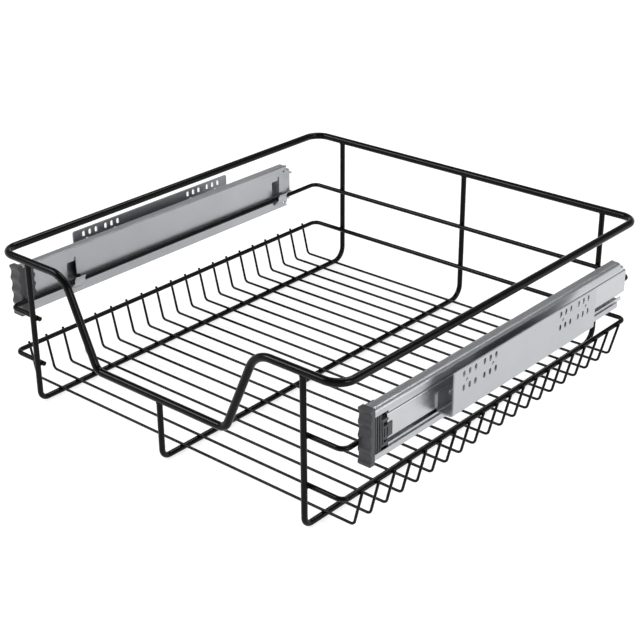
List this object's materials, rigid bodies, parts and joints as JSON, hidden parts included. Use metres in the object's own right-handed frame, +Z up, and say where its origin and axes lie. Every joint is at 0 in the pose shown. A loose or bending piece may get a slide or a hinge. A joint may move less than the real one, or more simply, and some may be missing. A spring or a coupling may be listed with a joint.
{
  "type": "pull out cabinet basket",
  "caption": "Wire basket that pulls out of a kitchen cabinet on ball-bearing runners, hooked on by its ring and fixed to the cabinet's sides by slotted brackets.",
  "frame": {"origin": "under the centre of the basket, on the underside of its floor wires, with the drawer shut", "axes": "+X across the basket to its right side, -Y towards the user (the dipped front of the rim), +Z up"},
  "size_m": [0.514, 0.498, 0.166],
  "materials": {
    "black_wire": "glossy black powder coat on steel wire",
    "zinc_sheet": "zinc-plated rolled steel sheet, fine grain along the rail",
    "bright_zinc": "bright zinc-plated rolled steel sheet",
    "cage_steel": "plain zinc-plated strip",
    "ball_steel": "polished hardened steel",
    "rivet_steel": "set steel rivets, zinc-plated",
    "charcoal_plastic": "moulded dark grey plastic, satin"
  },
  "bodies": {
    "cabinet_fixings": {"left_wall_bracket": "zinc_sheet", "right_wall_bracket": "zinc_sheet", "left_bracket_rivets": "rivet_steel", "right_bracket_rivets": "rivet_steel", "left_fixed_rail": "bright_zinc", "right_fixed_rail": "bright_zinc"},
    "inner_cages": {"left_inner_ball_cage": "cage_steel", "right_inner_ball_cage": "cage_steel", "left_inner_balls": "ball_steel", "right_inner_balls": "ball_steel"},
    "middle_rails": {"left_middle_rail": "bright_zinc", "right_middle_rail": "bright_zinc"},
    "outer_cages": {"left_outer_ball_cage": "cage_steel", "right_outer_ball_cage": "cage_steel", "left_outer_balls": "ball_steel", "right_outer_balls": "ball_steel"},
    "drawer": {"left_drawer_rail": "zinc_sheet", "right_drawer_rail": "zinc_sheet", "left_front_cap": "charcoal_plastic", "right_front_cap": "charcoal_plastic", "left_front_catch": "charcoal_plastic", "right_front_catch": "charcoal_plastic"},
    "basket": {"top_rim": "black_wire", "middle_ring": "black_wire", "lower_ring": "black_wire", "left_long_wire": "black_wire", "centre_long_wire": "black_wire", "right_long_wire": "black_wire", "floor_wires": "black_wire"}
  },
  "joints": [
    {"name": "drawer_slide", "type": "slide", "parent": "cabinet_fixings", "child": "drawer", "axis": [0, -1, 0], "range_m": [0, 0.39]},
    {"name": "middle_slide", "type": "slide", "parent": "cabinet_fixings", "child": "middle_rails", "axis": [0, -1, 0], "range_m": [0, 0.195]},
    {"name": "inner_cage_slide", "type": "slide", "parent": "cabinet_fixings", "child": "inner_cages", "axis": [0, -1, 0], "range_m": [0, 0.0975]},
    {"name": "outer_cage_slide", "type": "slide", "parent": "cabinet_fixings", "child": "outer_cages", "axis": [0, -1, 0], "range_m": [0, 0.2925]},
    {"name": "basket_lift", "type": "slide", "parent": "drawer", "child": "basket", "axis": [0, 0, 1], "range_m": [0, 0.024]}
  ],
  "couplings": [
    {"joint": "middle_slide", "follows": "drawer_slide", "ratio": 0.5},
    {"joint": "inner_cage_slide", "follows": "drawer_slide", "ratio": 0.25},
    {"joint": "outer_cage_slide", "follows": "drawer_slide", "ratio": 0.75}
  ]
}
